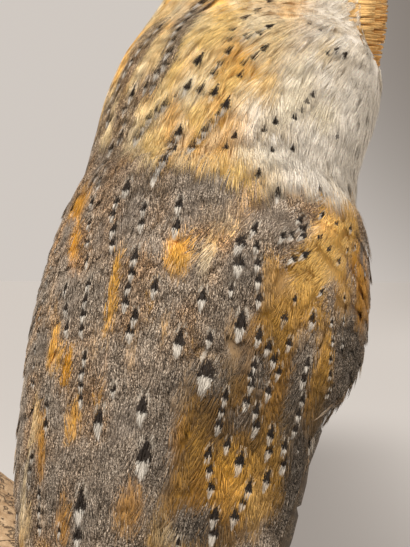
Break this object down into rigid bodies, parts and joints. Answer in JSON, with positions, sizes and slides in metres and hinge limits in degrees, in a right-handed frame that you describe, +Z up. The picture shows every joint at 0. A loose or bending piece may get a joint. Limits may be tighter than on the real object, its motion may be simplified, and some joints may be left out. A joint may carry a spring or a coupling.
{
  "type": "taxidermy barn owl",
  "caption": "Life-size taxidermy barn owl perched on a weathered branch over a plain round wooden base, leaning forward with its head turned to its right.",
  "frame": {"origin": "centre of the underside of the round base", "axes": "+Z up; the bird's front, the way its perched body faces, is -Y and its left side is +X; its head is turned to its own right, towards -X"},
  "size_m": [0.202, 0.2409, 0.4089],
  "materials": {
    "base_wood": "plain satin varnish",
    "branch_wood": "weathered bare wood with rough dark bark",
    "feathers_body": "soft matt feathers, white below, golden buff and grey above",
    "feathers_face": "fine white facial disc feathers",
    "feathers_wing": "grey vermiculated feathers over golden buff with black and white drop marks",
    "feathers_tail": "golden buff feathers with grey bars",
    "toe_skin": "dry scaly skin with sparse bristles",
    "claw_horn": "polished dark horn",
    "bill_horn": "pale ivory horn",
    "eye_glass": "glossy dark glass eye"
  },
  "bodies": {
    "root": {"base": "base_wood", "perch": "branch_wood", "torso": "feathers_body", "mantle": "feathers_body", "neck": "feathers_body", "head": "feathers_body", "face": "feathers_face", "wing_left": "feathers_wing", "wing_right": "feathers_wing", "tail": "feathers_tail", "leg_left": "feathers_body", "leg_right": "feathers_body", "foot_left": "toe_skin", "foot_right": "toe_skin", "claw_left_1": "claw_horn", "claw_left_2": "claw_horn", "claw_left_3": "claw_horn", "claw_left_4": "claw_horn", "claw_right_1": "claw_horn", "claw_right_2": "claw_horn", "claw_right_3": "claw_horn", "claw_right_4": "claw_horn", "bill_upper": "bill_horn", "bill_lower": "bill_horn", "eye_left": "eye_glass", "eye_right": "eye_glass"}
  },
  "joints": []
}
